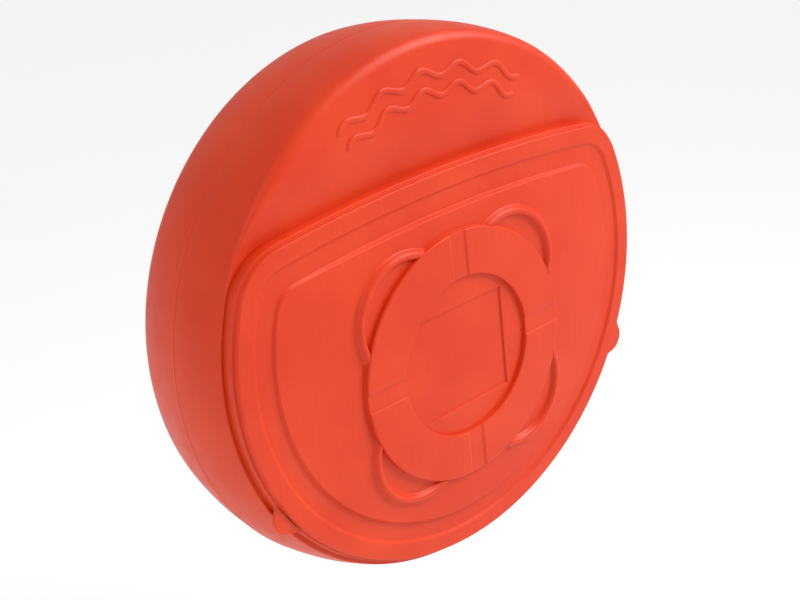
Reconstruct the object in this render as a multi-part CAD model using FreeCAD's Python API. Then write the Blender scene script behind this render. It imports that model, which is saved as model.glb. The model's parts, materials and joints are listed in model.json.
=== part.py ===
import FreeCAD, Part
import math
import os

# Wall case for a 750 mm ring buoy, with its pull-off cover and the ring inside.
# Millimetres. The origin is the drum's centre on the wall plane, +Z is up and
# the front faces -Y. Behind its parting line the drum is round about the Y axis.

# Case drum
DEPTH = 235.0                # wall plane to the middle of the cover's panel
DRUM_RADIUS = 415.0          # at the parting line
PARTING_DEPTH = 115.0        # parting line, from the wall
BACK_RADIUS = 407.0          # where the back corner starts
BACK_CORNER = 45.0
FRONT_RADIUS = 402.5         # where the front shoulder starts
FRONT_CENTRE_Z = 9.5         # the front draws in more at the bottom than at the top
SHOULDER = 18.0              # rounding of the front shoulder
HOOD_BACK = 17.0             # flat front of the hood, behind the panel
CASE_WALL = 5.0
PARTING_BEAD = 1.2           # height of the moulding line round the drum
PARTING_WIDTH = 5.0

# Cover outline, at its ledge
COVER_RADIUS = 394.0
COVER_CENTRE_Z = 14.0
COVER_TOP_Z = 227.0
TOP_BOW = 2500.0
CORNER = 84.0

# Cover section, each depth measured back from the middle of the panel
COVER_WALL = 4.0
BORDER_BACK = 6.0
LEDGE_BACK = 12.5            # narrow step between the rim and the side wall
SIDE_END = 27.0
SIDE_DRAFT = 3.5             # how far the side wall flares out by its end
CHANNEL_BACK = 9.5
PANEL_EDGE_BACK = 5.0
RIM_INSET = 4.5
RIM_DRAFT = 1.5
CHANNEL_INSET = 29.0
CHANNEL_SLOPE = 5.0          # run of the channel's outer wall
PANEL_INSET = 60.0
PANEL_SLOPE = 4.0            # run of the panel's side
PANEL_CORNER = 42.0

# Pull tabs, level with the ledge
TAB_ANGLE = 28.8             # below the horizontal
TAB_REACH = 23.0
TAB_WIDTH = 76.0
TAB_THICK = 5.0
TAB_ROOT = 2.0               # how far it runs into the side wall

# Ring picture moulded on the panel
EMBLEM_Z = -62.0
EMBLEM_OUTER = 195.5
EMBLEM_INNER = 124.0
EMBLEM_HEIGHT = 6.5
EMBLEM_ROUNDING = 8.0        # of its outer edge
EMBLEM_INNER_ROUNDING = 2.0
EMBLEM_BAND = 31.0
EMBLEM_BAND_DEPTH = 1.8
LOOP_RADIUS = 86.5
LOOP_OFFSET = 146.0
LOOP_ROPE = 7.0
LOOP_SUNK = 1.0
LABEL_SIDE = 162.0
LABEL_DEPTH = 3.0

# Opening in the case, and the collar that the cover goes over
COLLAR_CLEARANCE = 1.5
RECESS_BACK = 28.0           # floor round the collar, behind the panel
RECESS_MARGIN = 5.0          # floor beyond the cover's outline
RECESS_SLOPE = 65.0          # run of the shallow slope from the floor to the hood
COLLAR_BACK = 13.0           # collar's lip, behind the panel
SEAL_WALL = 1.0
SEAL_GAP = 0.5
SEAL_HOLD = 8.0              # how far the seal reaches down the collar

# Ring buoy
RING_RADIUS = 375.0
RING_INNER = 220.0
RING_THICK = 105.0
RING_FLATS = 20              # flats that make up its oval section
RING_SKIN = 4.0
RING_DEPTH = 72.0            # its middle plane, from the wall
BAND_WIDTH = 50.0
BAND_THICK = 0.6
BAND_COUNT = 4

# Line hub
HUB_RADIUS = 80.0
HUB_WALL = 4.0
HUB_LENGTH = 100.0
HUB_BASE_RADIUS = 106.0
HUB_BASE_THICK = 5.0
HUB_BOSS_RADIUS = 16.0
HUB_FLANGE_RADIUS = 128.0
HUB_FLANGE_THICK = 5.0
HUB_FLANGE_LIP = 9.0
HUB_RIBS = 6
HUB_BOLT_RADIUS = 5.0
HUB_SCREW_CIRCLE = 93.0

# Cradle blocks under the ring
REST_ANGLE = 34.0            # from straight down
REST_SPAN = 16.0             # degrees along the ring
REST_WALL = 6.0
REST_DEPTH = 100.0
REST_CLEARANCE = 0.4
REST_FOOT = 50.0             # length of the foot behind the ring
REST_SCREW_RADIUS = 3.0
SCREW_HEAD = 5.5             # radius of the head where it sits
SCREW_HEAD_HEIGHT = 3.5

# Wall fixing
FIXING_SPACING_X = 300.0
FIXING_SPACING_Z = 360.0
FIXING_HOLE_RADIUS = 4.5
PLATE_LENGTH = 380.0
PLATE_HEIGHT = 40.0
PLATE_THICK = 3.0
RIVET_RADIUS = 2.4
RIVET_HEAD = 5.0             # radius of the head where it sits
RIVET_HEAD_HEIGHT = 2.0

# Drain
DRAIN_SPACING = 140.0
DRAIN_RADIUS = 6.0
DRAIN_FLANGE = 10.0
DRAIN_DEPTH = 70.0
DRAIN_LIFT = 2.2             # flange above the sloping wall

# Raised waves on the hood
WAVE_MIDDLE = 346.0
WAVE_GAP = 27.0
WAVE_HEIGHT = 7.0
WAVE_STROKE = 8.0
WAVE_RAISE = 3.0
WAVE_SPAN = 57.0             # degrees of the hood that the waves cover
WAVE_COUNT = 5

Y_AXIS = FreeCAD.Vector(0, 1, 0)
ORIGIN = FreeCAD.Vector(0, 0, 0)


def at_back(distance):
    """Y of a plane that lies this far behind the middle of the cover's panel."""
    return -DEPTH + distance


def point(radius, y):
    return FreeCAD.Vector(radius, y, 0)


def line(a, b):
    return Part.LineSegment(a, b).toShape()


def arc(a, middle, b):
    return Part.Arc(a, middle, b).toShape()


def polygon(points):
    return Part.makePolygon(points + [points[0]])


def turned(edges, centre_z=0.0):
    """Solid of revolution about the Y axis, moved up to centre_z."""
    face = Part.Face(Part.Wire(edges))
    solid = face.revolve(ORIGIN, Y_AXIS, 360)
    solid.translate(FreeCAD.Vector(0, 0, centre_z))
    return solid


def turned_points(points, centre_z=0.0):
    wire = polygon([point(radius, y) for radius, y in points])
    return turned(wire.Edges, centre_z)


def rod(radius, x, z, y_back, y_front):
    """Cylinder along -Y from y_back to y_front."""
    return Part.makeCylinder(radius, y_back - y_front, FreeCAD.Vector(x, y_front, z), Y_AXIS)


def block(x_low, x_high, y_low, y_high, z_low, z_high):
    corner = FreeCAD.Vector(x_low, y_low, z_low)
    return Part.makeBox(x_high - x_low, y_high - y_low, z_high - z_low, corner)


def spun(shape, angle, centre_z):
    """Copy turned about the line through centre_z that runs along Y."""
    copy = shape.copy()
    copy.rotate(FreeCAD.Vector(0, 0, centre_z), Y_AXIS, angle)
    return copy


# ---- the D-shaped outline -------------------------------------------------

def outline(inset, y, corner=None):
    """Cover outline moved inwards by inset, as a wire in the plane at y."""
    radius = COVER_RADIUS - inset
    bow = TOP_BOW - inset
    rounding = (CORNER - inset) if corner is None else corner
    rounding = max(rounding, 12.0)
    low = COVER_CENTRE_Z
    high = COVER_TOP_Z - TOP_BOW
    # the corner's centre is inside both the lower arc and the bowed top
    reach_low = radius - rounding
    reach_high = bow - rounding
    span = low - high
    along = (reach_high ** 2 - reach_low ** 2 + span ** 2) / (2 * span)
    corner_z = high + along
    corner_x = math.sqrt(reach_high ** 2 - along ** 2)

    def on_arc(centre_x, centre_z, size, towards_x, towards_z):
        length = math.hypot(towards_x, towards_z)
        x = centre_x + size * towards_x / length
        z = centre_z + size * towards_z / length
        return FreeCAD.Vector(x, y, z)

    side = on_arc(0, low, radius, corner_x, corner_z - low)
    top = on_arc(0, high, bow, corner_x, corner_z - high)
    middle = (side + top) * 0.5
    bend = on_arc(corner_x, corner_z, rounding, middle.x - corner_x, middle.z - corner_z)

    def mirrored(vector):
        return FreeCAD.Vector(-vector.x, vector.y, vector.z)

    edges = [
        arc(side, FreeCAD.Vector(0, y, low - radius), mirrored(side)),
        arc(mirrored(side), mirrored(bend), mirrored(top)),
        arc(mirrored(top), FreeCAD.Vector(0, y, high + bow), top),
        arc(top, bend, side),
    ]
    return Part.Wire(edges)


def slab(inset, y_back, y_front, corner=None):
    """Flat-sided plug with the cover's outline."""
    face = Part.Face(outline(inset, y_back, corner))
    return face.extrude(FreeCAD.Vector(0, y_front - y_back, 0))


def tapered(inset_back, y_back, inset_front, y_front, corner_back=None, corner_front=None):
    """Plug whose outline changes from the back plane to the front plane."""
    wires = [outline(inset_back, y_back, corner_back), outline(inset_front, y_front, corner_front)]
    return Part.makeLoft(wires, True, True)


# ---- case -------------------------------------------------------------------

def bend_point(radius, y, rounding, towards_front):
    """Middle of a quarter round whose centre is at this radius and y."""
    reach = rounding * math.sqrt(0.5)
    return point(radius + reach, y - reach if towards_front else y + reach)


def rear_drum(inward):
    """Drum behind the parting line, moved inwards by a wall."""
    corner_radius = BACK_RADIUS - BACK_CORNER
    corner_start = point(corner_radius, -inward)
    corner_end = point(BACK_RADIUS - inward, -BACK_CORNER)
    parting = point(DRUM_RADIUS - inward, -PARTING_DEPTH)
    return turned([
        line(point(0, -inward), corner_start),
        arc(corner_start, bend_point(corner_radius, -BACK_CORNER, BACK_CORNER - inward, False), corner_end),
        line(corner_end, parting),
        line(parting, point(0, -PARTING_DEPTH)),
        line(point(0, -PARTING_DEPTH), point(0, -inward)),
    ])


def front_drum(inward):
    """Drum in front of the parting line: an oblique cone and a rounded front."""
    shoulder_y = at_back(HOOD_BACK) + SHOULDER
    front_y = at_back(HOOD_BACK) + inward
    parting = Part.makeCircle(DRUM_RADIUS - inward, FreeCAD.Vector(0, -PARTING_DEPTH, 0), Y_AXIS)
    front_centre = FreeCAD.Vector(0, shoulder_y, FRONT_CENTRE_Z)
    edge = Part.makeCircle(FRONT_RADIUS - inward, front_centre, Y_AXIS)
    cone = Part.makeLoft([Part.Wire(parting), Part.Wire(edge)], True, True)
    round_radius = FRONT_RADIUS - SHOULDER
    round_start = point(FRONT_RADIUS - inward, shoulder_y)
    round_end = point(round_radius, front_y)
    cap = turned([
        line(point(0, shoulder_y), round_start),
        arc(round_start, bend_point(round_radius, shoulder_y, SHOULDER - inward, True), round_end),
        line(round_end, point(0, front_y)),
        line(point(0, front_y), point(0, shoulder_y)),
    ], FRONT_CENTRE_Z)
    return cone.fuse(cap)


def drum(inward):
    return rear_drum(inward).fuse(front_drum(inward)).removeSplitter()


def parting_bead():
    half = PARTING_WIDTH / 2
    root = DRUM_RADIUS - CASE_WALL / 2
    rows = [(root, -PARTING_DEPTH - half - 1.5), (root, -PARTING_DEPTH + half + 1.5)]
    crest = DRUM_RADIUS + PARTING_BEAD
    rows += [(crest, -PARTING_DEPTH + half), (crest, -PARTING_DEPTH - half)]
    return turned_points(rows)


def wave_edge(radius, half_span):
    """One long side of a wave, as arcs that swing either way of its middle."""
    halves = 2 * WAVE_COUNT

    def place(share, swell):
        angle = math.pi / 2 + half_span * (1 - 2 * share)
        return FreeCAD.Vector((radius + swell) * math.cos(angle), 0, (radius + swell) * math.sin(angle))

    edges = []
    for half in range(halves):
        swell = WAVE_HEIGHT if half % 2 == 0 else -WAVE_HEIGHT
        edges.append(arc(place(half / halves, 0), place((half + 0.5) / halves, swell),
                         place((half + 1) / halves, 0)))
    return edges


def wave_ribbon(middle):
    """Plug with the outline of one wave, from inside the wall to past the front."""
    half_span = math.radians(WAVE_SPAN / 2)
    inner = wave_edge(middle - WAVE_STROKE / 2, half_span)
    outer = wave_edge(middle + WAVE_STROKE / 2, half_span)
    ends = [line(inner[0].Vertexes[0].Point, outer[0].Vertexes[0].Point)]
    ends.append(line(inner[-1].Vertexes[-1].Point, outer[-1].Vertexes[-1].Point))
    face = Part.Face(Part.Wire(Part.__sortEdges__(inner + [ends[1]] + outer + [ends[0]])))
    face.translate(FreeCAD.Vector(0, recess_floor() + CASE_WALL / 2, 0))
    front = at_back(HOOD_BACK) - WAVE_RAISE
    return face.extrude(FreeCAD.Vector(0, front - recess_floor() - CASE_WALL / 2, 0))


def hood_waves():
    """The waves, trimmed to stand the same height above the hood all along."""
    over_slope = recess_plug(-WAVE_RAISE)
    plugs = [wave_ribbon(WAVE_MIDDLE + side * WAVE_GAP) for side in (-0.5, 0.5)]
    return [plug.cut(over_slope) for plug in plugs]


def recess_plug(sunk):
    """Everything in front of the recess round the cover, moved back by sunk."""
    deep = RECESS_BACK - HOOD_BACK
    past = 6.0
    flare = RECESS_SLOPE * (deep + past) / deep
    return tapered(-RECESS_MARGIN, recess_floor() + sunk, -RECESS_MARGIN - flare, at_back(HOOD_BACK - past) + sunk)


def recess_floor():
    return at_back(RECESS_BACK)


def collar_outer_inset():
    return RIM_INSET + COVER_WALL + COLLAR_CLEARANCE


def fixing_places():
    places = []
    for side_x in (-1, 1):
        for side_z in (-1, 1):
            z = COVER_CENTRE_Z + side_z * FIXING_SPACING_Z / 2
            places.append((side_x * FIXING_SPACING_X / 2, z))
    return places


def rivet_places():
    places = []
    reach = (PLATE_LENGTH - PLATE_HEIGHT / 2) / 2
    for side_z in (-1, 1):
        z = COVER_CENTRE_Z + side_z * FIXING_SPACING_Z / 2
        for x in (-reach, -reach / 3, reach / 3, reach):
            places.append((x, z))
    return places


def rest_screw_places():
    places = []
    for side in (-1, 1):
        for turn in (-0.3, 0.3):
            angle = math.radians(REST_ANGLE + turn * REST_SPAN)
            reach = RING_RADIUS - REST_FOOT / 2
            x = side * reach * math.sin(angle)
            places.append((x, COVER_CENTRE_Z - reach * math.cos(angle)))
    return places


def hub_screw_places():
    places = []
    for turn in range(4):
        angle = math.radians(45 + 90 * turn)
        x = HUB_SCREW_CIRCLE * math.cos(angle)
        places.append((x, COVER_CENTRE_Z + HUB_SCREW_CIRCLE * math.sin(angle)))
    return places


def drain_places():
    return [-DRAIN_SPACING / 2, DRAIN_SPACING / 2]


def drain_rod(x, radius, length_up, length_down, z):
    centre = FreeCAD.Vector(x, -DRAIN_DEPTH, z - length_down)
    return Part.makeCylinder(radius, length_up + length_down, centre, FreeCAD.Vector(0, 0, 1))


def drain_z(x):
    """Height of the drum's outer wall at a drain hole."""
    share = (DRAIN_DEPTH - BACK_CORNER) / (PARTING_DEPTH - BACK_CORNER)
    radius = BACK_RADIUS + share * (DRUM_RADIUS - BACK_RADIUS)
    return -math.sqrt(radius ** 2 - x ** 2)


def make_case():
    front_wall = recess_floor() + CASE_WALL
    outer = drum(0).fuse(parting_bead()).cut(recess_plug(0)).fuse(hood_waves())
    # the hollow stays a wall behind the recess
    hollow = drum(CASE_WALL).cut(recess_plug(CASE_WALL))
    collar = slab(collar_outer_inset(), front_wall - 1, at_back(COLLAR_BACK))
    opening = slab(collar_outer_inset() + CASE_WALL, front_wall + 2 * CASE_WALL, at_back(0) - 5)
    case = outer.cut(hollow).fuse(collar).cut(opening)
    holes = [rod(FIXING_HOLE_RADIUS, x, z, 1, -CASE_WALL - 1) for x, z in fixing_places()]
    holes += [rod(RIVET_RADIUS, x, z, 1, -CASE_WALL - 1) for x, z in rivet_places()]
    holes += [rod(REST_SCREW_RADIUS, x, z, 1, -CASE_WALL - 1) for x, z in rest_screw_places()]
    holes += [rod(REST_SCREW_RADIUS, x, z, 1, -CASE_WALL - 1) for x, z in hub_screw_places()]
    holes += [drain_rod(x, DRAIN_RADIUS, 20, 20, drain_z(x)) for x in drain_places()]
    return case.cut(holes)


def make_seal():
    """Rubber edge trim pushed onto the collar's lip."""
    lip = at_back(COLLAR_BACK)
    front = at_back(BORDER_BACK + COVER_WALL + SEAL_GAP)
    outer = collar_outer_inset() - SEAL_WALL
    inner = collar_outer_inset() + CASE_WALL + SEAL_WALL
    band = slab(outer, lip + SEAL_HOLD, front).cut(slab(inner, lip + SEAL_HOLD + 1, front - 1))
    wall = slab(collar_outer_inset(), lip + SEAL_HOLD + 1, lip)
    wall = wall.cut(slab(collar_outer_inset() + CASE_WALL, lip + SEAL_HOLD + 2, lip - 1))
    return band.cut(wall)


# ---- cover ------------------------------------------------------------------

def dome(sunk):
    """Everything behind the panel's gently domed face, sunk by a wall."""
    edge_radius = COVER_RADIUS - PANEL_INSET
    crown = at_back(sunk)
    rise = PANEL_EDGE_BACK
    ball = (edge_radius ** 2 + rise ** 2) / (2 * rise)
    # the dome's pole is the ring picture's centre, so the two share an axis
    solid = Part.makeSphere(ball, FreeCAD.Vector(0, crown + ball, EMBLEM_Z), Y_AXIS)
    cutter = block(-450, 450, crown - 1, at_back(LEDGE_BACK) + COVER_WALL, -450, 450)
    return solid.common(cutter)


def tab_face(y):
    half = TAB_WIDTH / 2
    root = FreeCAD.Vector(-half, y, -TAB_ROOT)
    left = FreeCAD.Vector(-half, y, 0)
    waist_left = FreeCAD.Vector(-half * 0.58, y, TAB_REACH * 0.48)
    tip = FreeCAD.Vector(0, y, TAB_REACH)
    edges = [
        line(root, left),
        arc(left, FreeCAD.Vector(-half * 0.76, y, TAB_REACH * 0.17), waist_left),
        arc(waist_left, tip, FreeCAD.Vector(-waist_left.x, y, waist_left.z)),
        arc(FreeCAD.Vector(-waist_left.x, y, waist_left.z),
            FreeCAD.Vector(half * 0.76, y, TAB_REACH * 0.17), FreeCAD.Vector(half, y, 0)),
        line(FreeCAD.Vector(half, y, 0), FreeCAD.Vector(half, y, -TAB_ROOT)),
        line(FreeCAD.Vector(half, y, -TAB_ROOT), root),
    ]
    return Part.Face(Part.Wire(edges))


def make_tabs():
    """Two finger tabs that carry on from the ledge, low on each side."""
    tabs = []
    for side in (-1, 1):
        tab = tab_face(at_back(LEDGE_BACK)).extrude(FreeCAD.Vector(0, TAB_THICK, 0))
        tab.translate(FreeCAD.Vector(0, 0, COVER_RADIUS - 1))
        tab.rotate(ORIGIN, Y_AXIS, side * (90 + TAB_ANGLE))
        tab.translate(FreeCAD.Vector(0, 0, COVER_CENTRE_Z))
        tabs.append(tab)
    return tabs


def crown_middle(reach, rise):
    """Offset of an edge rounding's middle from where it leaves the flat top."""
    radius = (reach ** 2 + rise ** 2) / (2 * rise)
    half_turn = math.atan2(reach, radius - rise) / 2
    return radius * math.sin(half_turn), radius * (1 - math.cos(half_turn))


def emblem_ring():
    """Ring that stands on the panel, with a wide rounding outside."""
    base = at_back(LEDGE_BACK)
    crest = at_back(0) - EMBLEM_HEIGHT
    outer = EMBLEM_OUTER
    inner = EMBLEM_INNER
    foot = at_back(0)
    out, down = crown_middle(EMBLEM_ROUNDING, EMBLEM_HEIGHT)
    outer_top = outer - EMBLEM_ROUNDING
    inner_top = inner + EMBLEM_INNER_ROUNDING
    into = EMBLEM_INNER_ROUNDING * math.sqrt(0.5)
    inner_bend = point(inner_top - into, crest + EMBLEM_INNER_ROUNDING - into)
    inner_foot = point(inner, crest + EMBLEM_INNER_ROUNDING)
    return turned([
        line(point(inner, base), point(outer, base)),
        line(point(outer, base), point(outer, foot)),
        arc(point(outer, foot), point(outer_top + out, crest + down), point(outer_top, crest)),
        line(point(outer_top, crest), point(inner_top, crest)),
        arc(point(inner_top, crest), inner_bend, inner_foot),
        line(inner_foot, point(inner, base)),
    ], EMBLEM_Z)


def emblem_back(y_base):
    """Hollow behind the ring, a wall smaller all round."""
    outer = EMBLEM_OUTER - COVER_WALL
    inner = EMBLEM_INNER + COVER_WALL
    crest = at_back(0) - EMBLEM_HEIGHT + COVER_WALL
    rows = [(inner, y_base), (outer, y_base), (outer, crest + EMBLEM_ROUNDING / 2)]
    rows += [(outer - EMBLEM_ROUNDING / 2, crest), (inner, crest)]
    return turned_points(rows, EMBLEM_Z)


def emblem_bands():
    """Four shallow straps cut across the ring."""
    reach = EMBLEM_OUTER + 5
    start = EMBLEM_INNER - 5
    front = at_back(0) - EMBLEM_HEIGHT
    half = EMBLEM_BAND / 2
    cutter = block(start, reach, front - 2, front + EMBLEM_BAND_DEPTH, EMBLEM_Z - half, EMBLEM_Z + half)
    return [spun(cutter, 90 * turn, EMBLEM_Z) for turn in range(4)]


def emblem_loops():
    """Four rope loops that bulge out of the ring between the straps."""
    loops = []
    centre_y = at_back(LOOP_SUNK)
    for turn in range(4):
        angle = math.radians(45 + 90 * turn)
        x = LOOP_OFFSET * math.cos(angle)
        z = EMBLEM_Z + LOOP_OFFSET * math.sin(angle)
        loop = Part.makeTorus(LOOP_RADIUS, LOOP_ROPE, FreeCAD.Vector(x, centre_y, z), Y_AXIS)
        loops.append(loop)
    return loops


def make_cover():
    border = at_back(BORDER_BACK)
    ledge = at_back(LEDGE_BACK)
    side_end = at_back(SIDE_END)
    channel = at_back(CHANNEL_BACK)
    wall = COVER_WALL
    rim = tapered(RIM_INSET - RIM_DRAFT, ledge, RIM_INSET, border)
    body = tapered(-SIDE_DRAFT, side_end, 0, ledge).fuse(rim)
    channel_cut = tapered(CHANNEL_INSET + CHANNEL_SLOPE, channel, CHANNEL_INSET, border)
    panel_top = PANEL_INSET + PANEL_SLOPE
    top_corner = PANEL_CORNER - PANEL_SLOPE
    panel = tapered(PANEL_INSET, channel + 0.5, panel_top, at_back(PANEL_EDGE_BACK), PANEL_CORNER, top_corner)
    panel_plug = slab(panel_top, ledge, at_back(-1), top_corner)
    panel = panel.fuse(panel_plug.common(dome(0)))
    body = body.cut(channel_cut).fuse(panel)
    # the ring, with its loops stopped at the ring's outer edge
    core = rod(EMBLEM_OUTER - 2, 0, EMBLEM_Z, at_back(30), at_back(-30))
    loops = [loop.cut(core) for loop in emblem_loops()]
    body = body.fuse(emblem_ring().cut(emblem_bands()).fuse(loops))
    half = LABEL_SIDE / 2
    label = block(-half, half, at_back(-20), at_back(LABEL_DEPTH), EMBLEM_Z - half, EMBLEM_Z + half)
    body = body.cut(label)
    # hollow back: side, rim, border, channel and panel keep one wall
    hollow = slab(RIM_INSET + wall, side_end + 1, border + wall).fuse(slab(wall, side_end + 1, ledge + wall))
    web = slab(CHANNEL_INSET - wall, channel + wall, at_back(-5))
    hollow = hollow.cut(web)
    back_panel = tapered(PANEL_INSET + wall, channel + wall + 1, panel_top + wall,
                         at_back(PANEL_EDGE_BACK) + wall, PANEL_CORNER - wall, top_corner - wall)
    back_plug = slab(panel_top + wall, channel + wall + 1, at_back(-1), top_corner - wall)
    back_dome = back_plug.common(dome(wall))
    label_pad = block(-half - wall, half + wall, at_back(-20), at_back(LABEL_DEPTH) + wall,
                      EMBLEM_Z - half - wall, EMBLEM_Z + half + wall)
    hollow = hollow.fuse([back_panel, back_dome]).cut(label_pad)
    body = body.cut(hollow)
    body = body.cut(emblem_back(ledge + 3))
    return body.fuse(make_tabs()).removeSplitter()


# ---- ring buoy -----------------------------------------------------------------

def oval(grow, span=360.0, start=0.0):
    """Ring buoy's oval section, grown by grow, swept round the Y axis.

    The section is an ellipse in short flats, so every face is a plain cone.
    """
    middle = (RING_RADIUS + RING_INNER) / 2
    half_width = (RING_RADIUS - RING_INNER) / 2 + grow
    half_thick = RING_THICK / 2 + grow
    points = []
    for flat in range(RING_FLATS):
        angle = 2 * math.pi * (flat + 0.5) / RING_FLATS
        points.append(point(middle + half_width * math.cos(angle), -RING_DEPTH + half_thick * math.sin(angle)))
    solid = Part.Face(polygon(points)).revolve(ORIGIN, Y_AXIS, span)
    solid.rotate(ORIGIN, Y_AXIS, start)
    solid.translate(FreeCAD.Vector(0, 0, COVER_CENTRE_Z))
    return solid


def make_ring_shell():
    return oval(0).cut(oval(-RING_SKIN))


def make_ring_core():
    return oval(-RING_SKIN)


def make_band(index):
    span = math.degrees(BAND_WIDTH / RING_RADIUS)
    start = 360.0 / BAND_COUNT * index - span / 2
    return oval(BAND_THICK, span, start).cut(oval(0, span + 2, start - 1))


# ---- line hub ------------------------------------------------------------------

def hub_front():
    return -CASE_WALL - HUB_LENGTH


def make_hub():
    """Moulded spool barrel with a base flange, a centre boss and ribs."""
    back = -CASE_WALL
    front = hub_front()
    outer_back = HUB_RADIUS + 2
    rows = [
        (HUB_RADIUS - HUB_WALL, back), (HUB_BASE_RADIUS, back), (HUB_BASE_RADIUS, back - HUB_BASE_THICK),
        (outer_back, back - HUB_BASE_THICK), (HUB_RADIUS, front), (HUB_RADIUS - HUB_WALL, front),
    ]
    barrel = turned_points(rows, COVER_CENTRE_Z)
    boss = rod(HUB_BOSS_RADIUS, 0, COVER_CENTRE_Z, back, front)
    ribs = []
    for turn in range(HUB_RIBS):
        rib = block(HUB_BOSS_RADIUS - 2, HUB_RADIUS - 2, front, back, COVER_CENTRE_Z - 2, COVER_CENTRE_Z + 2)
        ribs.append(spun(rib, 360 / HUB_RIBS * turn, COVER_CENTRE_Z))
    hub = barrel.fuse([boss] + ribs)
    holes = [rod(REST_SCREW_RADIUS, x, z, back + 1, back - HUB_BASE_THICK - 1) for x, z in hub_screw_places()]
    holes.append(rod(HUB_BOLT_RADIUS, 0, COVER_CENTRE_Z, front + 45, front - 1))
    return hub.cut(holes)


def make_hub_flange():
    """Dished front disc that keeps the wound line on the hub."""
    back = hub_front()
    thick = HUB_FLANGE_THICK
    lip = HUB_FLANGE_LIP
    rows = [
        (HUB_BOLT_RADIUS, back), (HUB_RADIUS + 6, back), (HUB_FLANGE_RADIUS - 8, back + 4),
        (HUB_FLANGE_RADIUS, back + lip * 0.4), (HUB_FLANGE_RADIUS, back - thick * 0.4),
        (HUB_FLANGE_RADIUS - 8, back - thick), (HUB_RADIUS + 6, back - thick - 1), (HUB_BOLT_RADIUS, back - thick - 1),
    ]
    disc = turned_points(rows, COVER_CENTRE_Z)
    holes = []
    for turn in range(6):
        hole = rod(13, 52, COVER_CENTRE_Z, back + 5, back - thick - 5)
        holes.append(spun(hole, 30 + 60 * turn, COVER_CENTRE_Z))
    return disc.cut(holes)


def hexagon(across, x, z, y_back, y_front):
    radius = across / math.sqrt(3)
    points = []
    for turn in range(6):
        angle = math.radians(60 * turn)
        points.append(FreeCAD.Vector(x + radius * math.cos(angle), y_back, z + radius * math.sin(angle)))
    return Part.Face(polygon(points)).extrude(FreeCAD.Vector(0, y_front - y_back, 0))


def washer_back():
    return hub_front() - HUB_FLANGE_THICK - 1


def make_hub_washer():
    back = washer_back()
    disc = rod(13, 0, COVER_CENTRE_Z, back, back - 2)
    return disc.cut(rod(HUB_BOLT_RADIUS, 0, COVER_CENTRE_Z, back + 1, back - 3))


def make_hub_bolt():
    seat = washer_back() - 2
    head = hexagon(17, 0, COVER_CENTRE_Z, seat, seat - 6.4)
    return head.fuse(rod(HUB_BOLT_RADIUS, 0, COVER_CENTRE_Z, hub_front() + 38, seat))


def pan_screws(places, seat, tip):
    """Screws whose low round heads sit on the plane at seat."""
    screws = []
    for x, z in places:
        head = Part.makeCone(SCREW_HEAD * 0.6, SCREW_HEAD, SCREW_HEAD_HEIGHT,
                             FreeCAD.Vector(x, seat - SCREW_HEAD_HEIGHT, z), Y_AXIS)
        screws.append(head.fuse(rod(REST_SCREW_RADIUS, x, z, tip, seat)))
    return Part.makeCompound(screws)


def make_hub_screws():
    return pan_screws(hub_screw_places(), -CASE_WALL - HUB_BASE_THICK, 0)


# ---- cradle blocks ----------------------------------------------------------------

def sector(inner, outer, start, end, y_back, y_front, centre_z):
    """Part of a ring about the Y axis, between two angles from straight down."""
    def place(radius, angle):
        turn = math.radians(angle)
        return FreeCAD.Vector(radius * math.sin(turn), y_back, centre_z - radius * math.cos(turn))
    middle = (start + end) / 2
    edges = [
        arc(place(inner, start), place(inner, middle), place(inner, end)),
        line(place(inner, end), place(outer, end)),
        arc(place(outer, end), place(outer, middle), place(outer, start)),
        line(place(outer, start), place(inner, start)),
    ]
    return Part.Face(Part.Wire(edges)).extrude(FreeCAD.Vector(0, y_front - y_back, 0))


def make_rest(side):
    """Cradle block: a curved saddle on three ribs, with a foot behind the ring."""
    saddle = RING_RADIUS + REST_CLEARANCE
    past_wall = DRUM_RADIUS + COVER_CENTRE_Z
    start = REST_ANGLE - REST_SPAN / 2
    end = REST_ANGLE + REST_SPAN / 2
    back = -CASE_WALL
    front = back - REST_DEPTH
    rest = sector(saddle - REST_FOOT, saddle + 1, start, end, back, back - REST_WALL, COVER_CENTRE_Z)
    rest = rest.fuse(sector(saddle, saddle + REST_WALL, start, end, back, front, COVER_CENTRE_Z))
    rib_half = math.degrees(REST_WALL / 2 / RING_RADIUS)
    for middle in (start + rib_half, REST_ANGLE, end - rib_half):
        rib = sector(saddle, past_wall, middle - rib_half, middle + rib_half, back, front, COVER_CENTRE_Z)
        rest = rest.fuse(rib)
    # the ribs end on the inside of the drum
    rest = rest.common(rear_drum(CASE_WALL))
    if side < 0:
        rest = rest.mirror(ORIGIN, FreeCAD.Vector(1, 0, 0))
    holes = [rod(REST_SCREW_RADIUS, x, z, back + 1, back - REST_WALL - 1) for x, z in rest_screw_places()]
    return rest.cut(holes)


def make_rest_screws():
    return pan_screws(rest_screw_places(), -CASE_WALL - REST_WALL - 1.5, 0)


def make_rest_washers():
    back = -CASE_WALL - REST_WALL
    washers = []
    for x, z in rest_screw_places():
        disc = rod(7.5, x, z, back, back - 1.5)
        washers.append(disc.cut(rod(REST_SCREW_RADIUS, x, z, back + 1, back - 3)))
    return Part.makeCompound(washers)


# ---- wall fixing --------------------------------------------------------------------

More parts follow.
